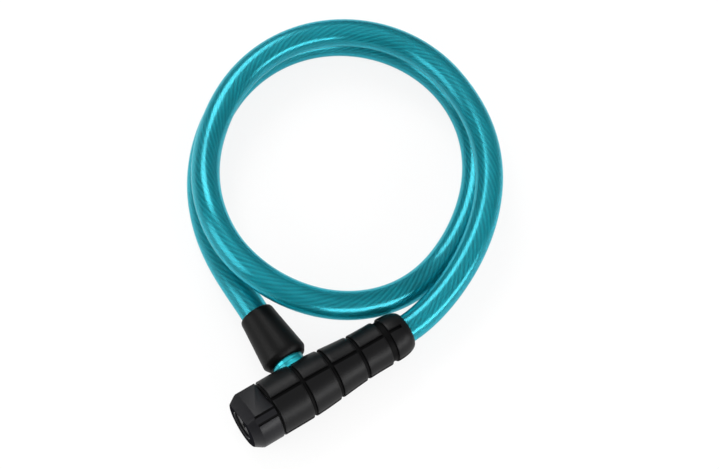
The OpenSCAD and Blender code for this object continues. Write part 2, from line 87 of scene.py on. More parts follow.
class CableLockFinish(bpy.types.PropertyGroup):
    """Colours of the finishes."""

    plastic: bpy.props.FloatVectorProperty(
        name="Cable plastic", description="Colour of the clear tinted tube", subtype="COLOR",
        default=(0.01, 0.42, 0.52), size=3, min=0, max=1)
    wire: bpy.props.FloatVectorProperty(
        name="Wire", description="Colour of the rope's wires", subtype="COLOR",
        default=(0.62, 0.64, 0.65), size=3, min=0, max=1)
    cover: bpy.props.FloatVectorProperty(
        name="Cover", description="Colour of the soft cover", subtype="COLOR",
        default=(0.003, 0.003, 0.0033), size=3, min=0, max=1)
    cap: bpy.props.FloatVectorProperty(
        name="Cap", description="Colour of the hard cap", subtype="COLOR",
        default=(0.0065, 0.0065, 0.008), size=3, min=0, max=1)
    grip: bpy.props.FloatVectorProperty(
        name="Grip", description="Colour of the plug's grip", subtype="COLOR",
        default=(0.003, 0.003, 0.003), size=3, min=0, max=1)
    collar: bpy.props.FloatVectorProperty(
        name="Collar", description="Colour of the plug's collar", subtype="COLOR",
        default=(0.02, 0.42, 0.5), size=3, min=0, max=1)


def sizes():
    """The sizes as they are set in the scene."""
    return bpy.context.scene.cable_lock_sizes


def finish():
    """The colours as they are set in the scene."""
    return bpy.context.scene.cable_lock_finish


# ----------------------------------------------------------------- modelling helpers
def lone(obj=None):
    """Nothing selected, or only one object, active."""
    if bpy.context.object and bpy.context.object.mode != "OBJECT":
        bpy.ops.object.mode_set(mode="OBJECT")
    bpy.ops.object.select_all(action="DESELECT")
    if obj:
        obj.select_set(True)
        bpy.context.view_layer.objects.active = obj


def settle(obj):
    """Puts a piece's place into its mesh."""
    lone(obj)
    bpy.ops.object.transform_apply(location=True, rotation=True, scale=True)


def apply_all(obj):
    """Turns a piece's modifiers into mesh."""
    lone(obj)
    for m in list(obj.modifiers):
        bpy.ops.object.modifier_apply(modifier=m.name)


def edit_all():
    """Edit mode, with everything selected."""
    bpy.ops.object.mode_set(mode="EDIT")
    bpy.ops.mesh.select_all(action="SELECT")


def end_edit():
    """Object mode again, with every normal outward."""
    bpy.ops.mesh.select_all(action="SELECT")
    bpy.ops.mesh.normals_make_consistent(inside=False)
    bpy.ops.object.mode_set(mode="OBJECT")


def lathe(name, profile, steps=96, axis="X", centre=(0, 0, 0), turn=0.0):
    """Spins a closed outline of (radius, place along the axis), in millimetres, about the axis through
    centre; turn is the first ring's angle from the top, in degrees."""
    along = Vector((1, 0, 0)) if axis == "X" else Vector((0, 1, 0))
    side = Matrix.Rotation(math.radians(-turn), 3, along) @ Vector((0, 0, 1))
    points = [Vector(centre) + along * (s * MM) + side * (r * MM) for r, s in profile]
    lone()
    bpy.ops.mesh.primitive_plane_add(size=0.001, location=(0, 0, 0))
    obj = bpy.context.object
    obj.name = obj.data.name = name
    edit_all()
    bpy.ops.mesh.merge(type="CENTER")
    bpy.ops.mesh.select_all(action="SELECT")
    bpy.ops.transform.translate(value=points[0])
    for a, b in zip(points, points[1:] + points[:1]):
        bpy.ops.mesh.extrude_region_move(TRANSFORM_OT_translate={"value": b - a})
    bpy.ops.mesh.select_all(action="SELECT")
    bpy.ops.mesh.remove_doubles(threshold=WELD)
    bpy.ops.mesh.spin(steps=steps, angle=math.tau, center=Vector(centre), axis=along)
    bpy.ops.mesh.select_all(action="SELECT")
    bpy.ops.mesh.remove_doubles(threshold=WELD)
    end_edit()
    return obj


def cut_with(obj, tool, operation="DIFFERENCE"):
    """Boolean of two meshes; the tool goes."""
    lone(obj)
    m = obj.modifiers.new("cut", "BOOLEAN")
    m.operation, m.object, m.solver = operation, tool, "EXACT"
    bpy.ops.object.modifier_apply(modifier=m.name)
    bpy.data.objects.remove(tool)


def smooth(obj, angle):
    """Shades smooth what bends by less than the angle, in degrees."""
    lone(obj)
    bpy.ops.object.shade_smooth_by_angle(angle=math.radians(angle))


def slots(obj, *materials):
    """Sets a piece's materials, in order."""
    obj.data.materials.clear()
    for m in materials:
        obj.data.materials.append(m)


# ----------------------------------------------------------------- materials
class Nodes:
    """Builds one node material."""

    def __init__(self, name):
        self.m = bpy.data.materials.new(name)
        self.m.use_nodes = True
        self.t = self.m.node_tree
        self.t.nodes.clear()
        self.out = self.t.nodes.new("ShaderNodeOutputMaterial")

    def add(self, kind, inputs=None, **props):
        """Adds a node with its properties and its inputs, each a value or what feeds it."""
        n = self.t.nodes.new("ShaderNode" + kind)
        for k, v in props.items():
            setattr(n, k, v)
        for k, v in (inputs or {}).items():
            self.put(n, k, v)
        return n

    def put(self, n, k, v):
        """Sets or feeds one input."""
        s = n.inputs[k]
        if isinstance(v, bpy.types.NodeSocket):
            self.t.links.new(v, s)
        elif isinstance(v, (tuple, list)) and len(v) == 3 and s.type == "RGBA":
            s.default_value = (*v, 1)
        else:
            s.default_value = v

    def surface(self, shader):
        self.t.links.new(shader, self.out.inputs["Surface"])
        return self.m

    def where(self):
        return self.add("TexCoord").outputs["Object"]

    def noise(self, scale, detail=3, vector=None, rough=0.55):
        return self.add("TexNoise", {"Vector": vector or self.where(), "Scale": scale, "Detail": detail,
                                     "Roughness": rough}).outputs["Fac"]

    def ramp(self, fac, stops):
        """Colour ramp of (place, grey or colour) stops."""
        n = self.add("ValToRGB", {"Fac": fac})
        r = n.color_ramp
        while len(r.elements) < len(stops):
            r.elements.new(0.5)
        for e, (p, c) in zip(r.elements, stops):
            e.position = p
            e.color = (c, c, c, 1) if isinstance(c, (int, float)) else (*c, 1)
        return n.outputs["Color"]

    def span(self, value, low, high):
        """Stretches 0 to 1 over low to high."""
        return self.add("MapRange", {"Value": value, "To Min": low, "To Max": high}).outputs["Result"]

    def tint(self, fac, a, b):
        """Mixes two colours."""
        n = self.add("Mix", data_type="RGBA")
        self.put(n, 0, fac)
        self.put(n, 6, a)
        self.put(n, 7, b)
        return n.outputs[2]

    def bump(self, height, distance, strength):
        return self.add("Bump", {"Height": height, "Distance": distance, "Strength": strength}).outputs["Normal"]


def shade(colour, k):
    """A colour made darker or lighter by a factor."""
    return tuple(c * k for c in colour)


def pale_floor():
    """White floor: it keeps the shadow, and looks white itself and in what reflects it."""
    n = Nodes("pale_floor")
    ray = n.add("LightPath").outputs
    seen = n.add("Math", {0: ray["Is Camera Ray"], 1: ray["Is Transmission Ray"]}, operation="MAXIMUM")
    seen = n.add("Math", {0: seen.outputs[0], 1: 0.86}, operation="MULTIPLY")
    gloss = n.add("Math", {0: ray["Is Glossy Ray"], 1: 0.35}, operation="MULTIPLY")
    share = n.add("Math", {0: seen.outputs[0], 1: gloss.outputs[0]}, operation="MAXIMUM")
    base = n.add("BsdfDiffuse", {"Color": n.tint(n.noise(3, 2), (0.86, 0.86, 0.86), (0.88, 0.88, 0.88))})
    glow = n.add("Emission", {"Color": (1, 1, 1), "Strength": 1.0})
    mix = n.add("MixShader", {0: share.outputs[0], 1: base.outputs[0], 2: glow.outputs[0]})
    return n.surface(mix.outputs[0])


def studio_world(scene):
    """Pale walls round the floor and a darker ceiling."""
    world = bpy.data.worlds.new("studio")
    scene.world = world
    world.use_nodes = True
    t = world.node_tree
    t.nodes.clear()
    out, back = t.nodes.new("ShaderNodeOutputWorld"), t.nodes.new("ShaderNodeBackground")
    way, split, ramp = (t.nodes.new("ShaderNode" + k) for k in ("TexCoord", "SeparateXYZ", "ValToRGB"))
    t.links.new(way.outputs["Generated"], split.inputs[0])
    t.links.new(split.outputs["Z"], ramp.inputs[0])
    stops = ramp.color_ramp.elements
    for e, (p, c) in zip([stops[0], stops[1], stops.new(0.6)], ((0.12, 0.5), (1.0, 0.14), (0.5, 0.22))):
        e.position, e.color = p, (c, c, c, 1)
    t.links.new(ramp.outputs[0], back.inputs["Color"])
    t.links.new(back.outputs[0], out.inputs["Surface"])


def clear_plastic():
    """Tinted see-through plastic of the tube, with faint bands along it."""
    n = Nodes("tinted_plastic")
    c = finish().plastic
    uv = n.add("UVMap", uv_map="cable").outputs["UV"]
    long = n.add("Mapping", {"Vector": uv, "Scale": (6, 1.0, 1)}).outputs["Vector"]
    cloud = n.noise(9, 3, long)
    colour = n.tint(cloud, shade(c, 0.86), shade(c, 1.12))
    rough = n.span(n.noise(900, 2), 0.17, 0.27)
    normal = n.bump(n.noise(2400, 2), 0.00006, 0.35)
    # the gloss takes the plastic's tint, most of all at the tube's rims
    rim = n.add("LayerWeight", {"Blend": 0.5}).outputs["Facing"]
    gloss = n.add("MapRange", {"Value": rim, "From Min": 0.4, "From Max": 0.8, "To Min": 0.2, "To Max": 0.9})
    p = n.add("BsdfPrincipled", {"Base Color": colour, "Roughness": rough, "Normal": normal,
                                 "Metallic": gloss.outputs["Result"], "Transmission Weight": 0.9, "IOR": 1.36,
                                 "Specular Tint": (0.6, 0.97, 1.0)})
    return n.surface(p.outputs[0])


def open_wall():
    """Inner wall of the tube, which lies on the rope and shows nothing of its own."""
    n = Nodes("bore_wall")
    p = n.add("BsdfPrincipled", {"Base Color": (1, 1, 1), "Alpha": 0.0, "Roughness": 1.0})
    return n.surface(p.outputs[0])


def steel_wires():
    """Bright drawn wires laid in a strand: slanted lines on the strand's own UV, with a painted highlight along
    each strand's outer ridge and painted shade between strands.
    """
    n = Nodes("steel_wires")
    c = finish().wire
    uv = n.add("UVMap", uv_map="strand").outputs["UV"]
    turned = n.add("Mapping", {"Vector": uv, "Scale": (90, 6, 1)}).outputs["Vector"]
    wave = n.add("TexWave", {"Vector": turned, "Scale": 1.0, "Distortion": 0.4, "Detail": 1.0},
                 wave_type="BANDS", bands_direction="DIAGONAL", wave_profile="SIN").outputs["Fac"]
    cloud = n.noise(500, 3)
    # painted highlight along each strand's outer ridge and painted shade where it meets the next
    round_it = n.add("SeparateXYZ", {"Vector": uv}).outputs["Y"]
    away = n.add("Math", {0: round_it, 1: 0.5}, operation="PINGPONG").outputs[0]
    painted_crest_light = n.ramp(away, ((0.03, 1.0), (0.14, 0.36), (0.24, 0.12)))
    # noise that makes the painted ridge highlight patchy in strength
    worn = n.span(n.noise(45, 2), 0.15, 0.95)
    painted_crest_light = n.add("Math", {0: painted_crest_light, 1: worn}, operation="MULTIPLY").outputs[0]
    colour = n.tint(painted_crest_light, shade(c, 0.5), shade(c, 1.6))
    colour = n.tint(n.span(wave, 0.0, 0.25), colour, shade(c, 1.2))
    colour = n.tint(n.span(cloud, 0.0, 0.35), colour, shade(c, 0.7))
    normal = n.bump(wave, 0.0001, 0.4)
    p = n.add("BsdfPrincipled", {"Base Color": colour, "Roughness": n.span(cloud, 0.45, 0.6),
                                 "Metallic": 0.2, "Normal": normal})
    return n.surface(p.outputs[0])


def moulded(name, colour, cloud, shades, rough, grain, depth, specular):
    """Moulded plastic or rubber: cloudy colour and gloss, and a fine grain. cloud and grain are a noise's
    scale and detail, shades and rough are what the cloud spans, depth is the grain's distance and strength."""
    n = Nodes(name)
    mottle = n.noise(*cloud)
    p = n.add("BsdfPrincipled", {"Base Color": n.tint(mottle, shade(colour, shades[0]), shade(colour, shades[1])),
                                 "Roughness": n.span(mottle, *rough), "Specular IOR Level": specular,
                                 "Normal": n.bump(n.noise(*grain), *depth)})
    return n.surface(p.outputs[0])


def soft_cover():
    """Soft-touch black rubber: fine grain, faint wear."""
    return moulded("soft_rubber", finish().cover, (60, 4), (0.85, 1.25), (0.34, 0.44), (2600, 3),
                   (0.00012, 0.35), 0.13)


def groove_shade_rubber():
    """The same rubber, darker in the grooves, the cap's seams and the lip under the gap: painted shade in these
    recesses.
    """
    return moulded("groove_shade_rubber", finish().cover, (80, 3), (0.3, 0.5), (0.5, 0.6), (2600, 3),
                   (0.0001, 0.3), 0.05)


def hard_cap():
    """Hard dark plastic with a fine eroded texture."""
    return moulded("hard_plastic", finish().cap, (90, 3), (0.92, 1.1), (0.3, 0.38), (3200, 2),
                   (0.00008, 0.25), 0.16)


def facet_painted_light():
    """The cap's flats, a shade lighter and smoother: the lighter colour is a painted reflection of the pale
    surroundings.
    """
    return moulded("facet_painted_light", shade(finish().cap, 1.35), (60, 3), (0.93, 1.07), (0.34, 0.42),
                   (3200, 2), (0.00006, 0.2), 0.14)


def end_face():
    """The cap's end, worn dull by keys."""
    return moulded("end_face", finish().cap, (240, 4), (0.8, 1.6), (0.6, 0.75), (2600, 2), (0.0001, 0.3), 0.0)


def grip_plastic():
    """Black plastic of the plug's grip."""
    return moulded("grip_plastic", finish().grip, (70, 4), (0.9, 1.2), (0.36, 0.46), (2400, 3),
                   (0.0001, 0.3), 0.1)


def collar_plastic():
    """Glossy tinted plastic of the collar, with dark bands round it: painted shade standing in for ring grooves.
    """
    n = Nodes("collar_plastic")
    c = finish().collar
    cloud = n.noise(150, 3)
    along = n.add("Mapping", {"Vector": n.where(), "Scale": (60, 460, 60)}).outputs["Vector"]
    # dark rings round the collar: painted shade of ring grooves, which also drive a slight bump
    groove_shade_rings = n.ramp(n.noise(1.0, 1, along), ((0.44, 0.25), (0.54, 1.0)))
    colour = n.tint(groove_shade_rings, shade(c, 0.35), n.tint(cloud, shade(c, 0.95), shade(c, 1.3)))
    p = n.add("BsdfPrincipled", {"Base Color": colour, "Roughness": n.span(cloud, 0.12, 0.2), "Metallic": 0.2,
                                 "Specular Tint": (0.35, 0.95, 1.0), "Normal": n.bump(groove_shade_rings, 0.0002, 0.5)})
    return n.surface(p.outputs[0])


def metal(name, colour, low, high, stretch=(1, 1, 1)):
    """Machined metal: fine lines stretched along one way."""
    n = Nodes(name)
    v = n.add("Mapping", {"Vector": n.where(), "Scale": stretch}).outputs["Vector"]
    lines = n.noise(900, 3, v)
    spots = n.noise(120, 3)
    p = n.add("BsdfPrincipled", {"Base Color": n.tint(spots, shade(colour, 0.85), colour), "Metallic": 1.0,
                                 "Roughness": n.span(lines, low, high), "Normal": n.bump(lines, 0.00003, 0.3)})
    return n.surface(p.outputs[0])


def seal_rubber():
    """Black rubber of the pin's ring."""
    n = Nodes("seal_rubber")
    g = n.noise(1800, 2)
    p = n.add("BsdfPrincipled", {"Base Color": n.tint(g, (0.01, 0.01, 0.01), (0.02, 0.02, 0.02)),
                                 "Roughness": n.span(g, 0.5, 0.65), "Normal": n.bump(g, 0.00005, 0.3)})
    return n.surface(p.outputs[0])


# ----------------------------------------------------------------- cable route
# The same line as the solids': straight out of the mouth, up onto the upper layer, a turn
# down to the lower layer, most of a second turn, and up into the plug's grip. Millimetres,
# from the plug's axis, with heights above the floor.
PLUG_X, PLUG_REACH, LOCK_LEN, BODY_R, CABLE_D = 37.0, 47.0, 97.5, 15.0, 15.0
COIL_X, COIL_Y, COIL_R = 83.4, 94.35, 76.5
COIL_GROW, COIL_DRIFT = 2.0, 2.1    # a turn
COIL_OVAL, OVAL_TURN, COIL_LOBE, LOBE_TURN = 5.9, 40.0, 0.8, -22.0
COIL_FROM, COIL_TO = 10.0, 490.0
LOW_Z = CABLE_D / 2
HIGH_Z = LOW_Z + CABLE_D + 1.0
# the second turn rises over the first, then comes down: height, and angles in degrees
ARCH, ARCH_AT, ARCH_TURN, DROP_AT, DROP_TURN = 9.0, 125, 55, 198, 88
LEAD_STEPS, COIL_STEPS, TAIL_STEPS = 40, 176, 33
MOUTH_PULL, LEAD_PULL, TAIL_PULL, GRIP_PULL = 90.0, 234.0, 143.0, 87.0
LEAD_RISE, TAIL_FLAT = 0.85, 0.42
MOUTH = Vector((LOCK_LEN - PLUG_X, 0, BODY_R))
FERRULE_END = 35.7
GRIP = Vector((0, FERRULE_END + CABLE_D, BODY_R))
# where tube and rope start in the body and end in the plug, and the rope's step in metres
TUBE_X, TUBE_Y = 73.0, FERRULE_END + 0.3
ROPE_X, ROPE_Y, ROPE_STEP = 59.7, 29.9, 0.0022


def ease(t):
    """0 to 1 with a soft start and end."""
    t = max(0.0, min(1.0, t))
    return t * t * (3 - 2 * t)


def coil_at(a):
    """Point of the coil at an angle, in degrees."""
    r = (COIL_R + COIL_GROW * a / 360 + COIL_OVAL * math.cos(math.radians(2 * (a - OVAL_TURN)))
         + COIL_LOBE * math.cos(math.radians(3 * (a - LOBE_TURN))))
    rise = HIGH_Z - LOW_Z + ARCH * ease((a - ARCH_AT) / ARCH_TURN)
    z = LOW_Z + rise * (1 - ease((a - DROP_AT) / DROP_TURN))
    return Vector((COIL_X + r * math.cos(math.radians(a)),
                   COIL_Y + COIL_DRIFT * a / 360 + r * math.sin(math.radians(a)), z))


def heading(a):
    """Level direction of the coil at an angle."""
    d = coil_at(a + 1) - coil_at(a - 1)
    return Vector((d.x, d.y, 0)).normalized()


def bend(p, u, q, v, t):
    """Point at t of the curve from p to q that leaves along u and arrives along v."""
    return ((2 * t**3 - 3 * t**2 + 1) * p + (t**3 - 2 * t**2 + t) * u
            + (3 * t**2 - 2 * t**3) * q + (t**3 - t**2) * v)


def route():
    """The centreline from the body's mouth into the grip, closely spaced."""
    points = [MOUTH.copy()]
    for i in range(1, LEAD_STEPS):
        t = i / LEAD_STEPS
        p = bend(MOUTH, Vector((MOUTH_PULL, 0, 0)), coil_at(COIL_FROM), LEAD_PULL * heading(COIL_FROM), t)
        points.append(Vector((p.x, p.y, BODY_R + (HIGH_Z - BODY_R) * ease(t / LEAD_RISE))))
    points += [coil_at(COIL_FROM + (COIL_TO - COIL_FROM) * i / COIL_STEPS) for i in range(COIL_STEPS + 1)]
    for i in range(1, TAIL_STEPS):
        t = i / TAIL_STEPS
        p = bend(coil_at(COIL_TO), TAIL_PULL * heading(COIL_TO), GRIP, Vector((0, -GRIP_PULL, 0)), t)
        points.append(Vector((p.x, p.y, LOW_Z + (BODY_R - LOW_Z) * ease((t - TAIL_FLAT) / (1 - TAIL_FLAT)))))
    points.append(GRIP.copy())
    return points


def whole_path(start_x, end_y):
    """The route with its straight ends, in the part's frame, in metres."""
    first, last = Vector((start_x - PLUG_X, 0, BODY_R)), Vector((0, end_y, BODY_R))
    mid = route()
    points = [first.lerp(mid[0], i / 4) for i in range(4)] + mid + [mid[-1].lerp(last, i / 2) for i in (1, 2)]
    x, y = PLUG_X - LOCK_LEN / 2, (PLUG_REACH - BODY_R) / 2
    return [Vector((p.x + x, p.y - y, p.z)) * MM for p in points]


def lengths(path):
    """Length along the path at each point."""
    s = [0.0]
    for a, b in zip(path, path[1:]):
        s.append(s[-1] + (b - a).length)
    return s


def frames(path):
    """Each point with the ways to its side and up; the cable never stands upright."""
    out = []
    for i, p in enumerate(path):
        t = (path[min(i + 1, len(path) - 1)] - path[max(i - 1, 0)]).normalized()
        side = t.cross(Vector((0, 0, 1))).normalized()
        out.append((p, side, side.cross(t)))
    return out


def sweep(verts, faces, uvs, rings, flip=False):
    """Adds the skin of a list of rings of points, with UVs of length along and share round."""
    base, n = len(verts), len(rings[0][1])
    for _, ring in rings:
        verts.extend(ring)
    for i in range(len(rings) - 1):
        for k in range(n):
            a, b = base + i * n + k, base + i * n + (k + 1) % n
            quad, uv = [a, b, b + n, a + n], [(rings[i][0], k / n), (rings[i][0], (k + 1) / n),
                                              (rings[i + 1][0], (k + 1) / n), (rings[i + 1][0], k / n)]
            faces.append(quad if flip else quad[::-1])
            uvs.append(uv if flip else uv[::-1])
    return base


def close_ends(faces, uvs, base, rings):
    """Closes both ends of a sweep that starts at point base."""
    n = len(rings[0][1])
    last = base + (len(rings) - 1) * n
    faces.append([base + k for k in range(n)])
    faces.append([last + k for k in range(n)][::-1])
    uvs += [[(0, 0)] * n] * 2


def mesh_piece(name, verts, faces, uvs, layer):
    """A new piece from points and faces, with one UV layer."""
    mesh = bpy.data.meshes.new(name)
    mesh.from_pydata([tuple(v) for v in verts], [], faces)
    uv = mesh.uv_layers.new(name=layer)
    uv.data.foreach_set("uv", [c for face in uvs for pair in face for c in pair])
    mesh.shade_smooth()
    obj = bpy.data.objects.new(name, mesh)
    bpy.context.scene.collection.objects.link(obj)
    return obj


def circle(p, side, up, r, n):
    """Ring of n points about p."""
    return [p + r * (math.cos(math.tau * k / n) * side + math.sin(math.tau * k / n) * up) for k in range(n)]


def follow_plug(obj):
    """Puts a piece's place into its mesh."""
    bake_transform(obj)


# ----------------------------------------------------------------- stage and cable
CAMERA_AT = (-0.1777, -0.2176, 0.7306)
CAMERA_RIGHT, CAMERA_BACK = (0.8339, -0.5464, 0.0774), (-0.2963, -0.325, 0.8981)
LENS, SENSOR = 75.9, 36
# name, place, what it is aimed at, width, height, brightness as a share of white
LAMPS = (
    ("far_box", (0.13, 0.72, 0.72), (0.05, 0.07, 0), 0.46, 0.5, 7),
    ("low_box", (0.2, -0.62, 0.24), (0.0, -0.016, 0.015), 0.9, 0.24, 8),
    ("side_box", (-0.62, 0.22, 0.36), (0, 0, 0), 0.5, 0.5, 4),
)


class CABLELOCK_OT_stage(bpy.types.Operator):
    """Camera, soft lights and a pale floor"""

    bl_idname = "cable_lock.stage"
    bl_label = "Stage"

    def execute(self, context):
        scene = context.scene
        scene.view_settings.view_transform = "Standard"
        lone()
        right, back = Vector(CAMERA_RIGHT).normalized(), Vector(CAMERA_BACK)
        back = (back - right * back.dot(right)).normalized()
        up = back.cross(right)
        bpy.ops.object.camera_add()
        cam = context.object
        cam.name = "camera"
        cam.matrix_world = Matrix([(right[i], up[i], back[i], CAMERA_AT[i]) for i in range(3)] + [(0, 0, 0, 1)])
        cam.data.lens, cam.data.sensor_width, cam.data.sensor_fit = LENS, SENSOR, "HORIZONTAL"
        cam.data.clip_start = 0.05
        scene.camera = cam

        lone()
        bpy.ops.mesh.primitive_grid_add(x_subdivisions=8, y_subdivisions=8, size=12, location=(0, 0, -0.0001))
        floor = context.object
        floor.name = "floor"
        settle(floor)
        floor.data.materials.append(pale_floor())
        studio_world(scene)

        for name, place, aim, size, size_y, radiance in LAMPS:
            lone()
            bpy.ops.object.light_add(type="AREA", location=place)
            lamp = context.object
            lamp.name = name
            lamp.data.shape = "RECTANGLE"
            lamp.data.size, lamp.data.size_y = size, size_y
            lamp.data.energy = radiance * math.pi * size * size_y
            lamp.rotation_euler = (Vector(aim) - Vector(place)).to_track_quat("-Z", "Y").to_euler()
            lamp.visible_camera = False
        return {"FINISHED"}


class CABLELOCK_OT_sheath(bpy.types.Operator):
    """Tinted clear tube of the cable"""

    bl_idname = "cable_lock.sheath"
    bl_label = "Cable tube"

    def execute(self, context):
        s = sizes()
        path = whole_path(TUBE_X, TUBE_Y)
        at = lengths(path)
        n = 32
        verts, faces, uvs = [], [], []
        outer = [(a, circle(p, e, u, s.cable_d / 2, n)) for a, (p, e, u) in zip(at, frames(path))]
        inner = [(a, circle(p, e, u, s.bore_d / 2, n)) for a, (p, e, u) in zip(at, frames(path))]
        o = sweep(verts, faces, uvs, outer)
        skin = len(faces)
        i = sweep(verts, faces, uvs, inner, flip=True)
        last = (len(path) - 1) * n
        for k in range(n):
            j = (k + 1) % n
            faces.append([o + k, o + j, i + j, i + k])
            faces.append([o + last + k, i + last + k, i + last + j, o + last + j])
            uvs += [[(0, 0), (0, 0), (0.001, 0), (0.001, 0)]] * 2
        obj = mesh_piece("cable_tube", verts, faces, uvs, "cable")
        slots(obj, clear_plastic(), open_wall())
        for f in obj.data.polygons:
            f.material_index = 1 if skin <= f.index < 2 * skin else 0
        follow_plug(obj)
        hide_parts("cable_sheath")
        return {"FINISHED"}


class CABLELOCK_OT_rope(bpy.types.Operator):
    """Wire rope in the tube: strands wound on a core strand"""

    bl_idname = "cable_lock.rope"
    bl_label = "Wire rope"

    def execute(self, context):
        s = sizes()
        coarse = whole_path(ROPE_X, ROPE_Y)
        at = lengths(coarse)
        n_steps = int(at[-1] / ROPE_STEP)
        path, place, j = [], [], 0
        for i in range(n_steps + 1):
            want = at[-1] * i / n_steps
            while j < len(at) - 2 and at[j + 1] < want:
                j += 1
            f = (want - at[j]) / (at[j + 1] - at[j])
            path.append(coarse[j].lerp(coarse[j + 1], f))
            place.append(want)
        fr = frames(path)
        half = math.sin(math.pi / s.strands)
        strand_r = s.rope_d / 2 * half / (1 + half) * 1.04
        ring_r = s.rope_d / 2 - strand_r
        n = 8
        verts, faces, uvs, along = [], [], [], []
        for k in range(s.strands):
            rings = []
            for (p, e, u), a in zip(fr, place):
                turn = math.tau * (a / s.lay + k / s.strands)
                out = math.cos(turn) * e + math.sin(turn) * u
                c = p + ring_r * out
                across = math.cos(turn) * u - math.sin(turn) * e
                rings.append((a, circle(c, out, across, strand_r, n)))
                along.extend([a] * n)
            close_ends(faces, uvs, sweep(verts, faces, uvs, rings), rings)
        core_r = ring_r + strand_r * 0.45
        rings = [(a, circle(p, e, u, core_r, n)) for (p, e, u), a in zip(fr, place)]
        along.extend([a for a in place for _ in range(n)])
        close_ends(faces, uvs, sweep(verts, faces, uvs, rings), rings)
        obj = mesh_piece("wire_rope", verts, faces, uvs, "strand")
        slots(obj, steel_wires())
        follow_plug(obj)
        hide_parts("cable_core")
        return {"FINISHED"}


# ----------------------------------------------------------------- body, cap and grip
# Places along the body are from the key end, in millimetres.
COVER_X, SHOULDER_X, WAIST_X, DOME_X = 16.8, 30.0, 77.0, 87.5
TAIL_R, MOUTH_R = 12.2, 8.7
# bores of the cover: round the cable, round the anchor and round the housing; and its lip under the gap
CABLE_BORE, ANCHOR_BORE, HOUSING_BORE, LIP_R = 7.9, 10.1, 11.7, 13.7
ANCHOR_END, ANCHOR_START = 90.7, 50.1
PORT_R = 8.8    # opening for the plug
RINGS = ((34.6, 2.0), (51.2, 2.0), (67.8, 2.0), (84.4, 3.5))    # place and width of the ring grooves
LONG_GROOVES, LONG_END, LONG_W, LONG_TURN = 4, 93.5, 1.5, -1.0
CAP_LEN, CAP_FACE_R, CAP_CHAMFER = 15.6, 11.4, 4.8
FACET_MID, FACET_D, FACET_BEVEL = 27.0, 11.32, 3.0
STRIP_AT, STRIP_D = -25, 14.75    # the narrow flat beside the broad facet
SEAMS, SEAM_X, SEAM_DEPTH = ((-32.5, 1.3), (-16.0, 1.2)), 4.6, 0.45


def cover_r(x):
    """Outer radius of the cover at a place along it."""
    if x < SHOULDER_X:
        return BODY_R
    if x < WAIST_X:
        share = (1 - math.cos(math.pi * (x - SHOULDER_X) / (WAIST_X - SHOULDER_X))) / 2
        return BODY_R - (BODY_R - TAIL_R) * share
    if x < DOME_X:
        return TAIL_R
    return MOUTH_R + (TAIL_R - MOUTH_R) * math.sqrt(max(0, 1 - ((x - DOME_X) / (LOCK_LEN - DOME_X)) ** 2))


def round_body(angle):
    """Way out from the body's axis, angle in degrees from the top towards the plug."""
    a = math.radians(angle)
    return Vector((0, math.sin(a), math.cos(a)))


def groove_cutter(angle, depth, edge):
    """A bar with flared top edges that follows the cover's outline: a cross-section, extruded in steps."""
    out, across = round_body(angle), round_body(angle + 90)
    stations = [COVER_X - 1] + [SHOULDER_X + i * 2 for i in range(29)] + [88, 89, 90, 91, 92, LONG_END]
    w = LONG_W / 2 * MM
    section = [(-w, -depth), (w, -depth), (w, -edge), (w + 2 * edge, edge), (w + 2 * edge, 3 * MM),
               (-w - 2 * edge, 3 * MM), (-w - 2 * edge, edge), (-w, -edge)]
    base = Vector((KEY_X, AXIS_Y, AXIS_Z))

    def place(x):
        return base + Vector((x * MM, 0, 0)) + out * (cover_r(x) * MM)

    lone()
    bpy.ops.mesh.primitive_circle_add(vertices=len(section), radius=0.001, fill_type="NGON")
    obj = bpy.context.object
    for v, (a, b) in zip(obj.data.vertices, section):
        v.co = place(stations[0]) + across * a + out * b
    edit_all()
    for a, b in zip(stations, stations[1:]):
        bpy.ops.mesh.extrude_region_move(TRANSFORM_OT_translate={"value": place(b) - place(a)})
    end_edit()
    return obj


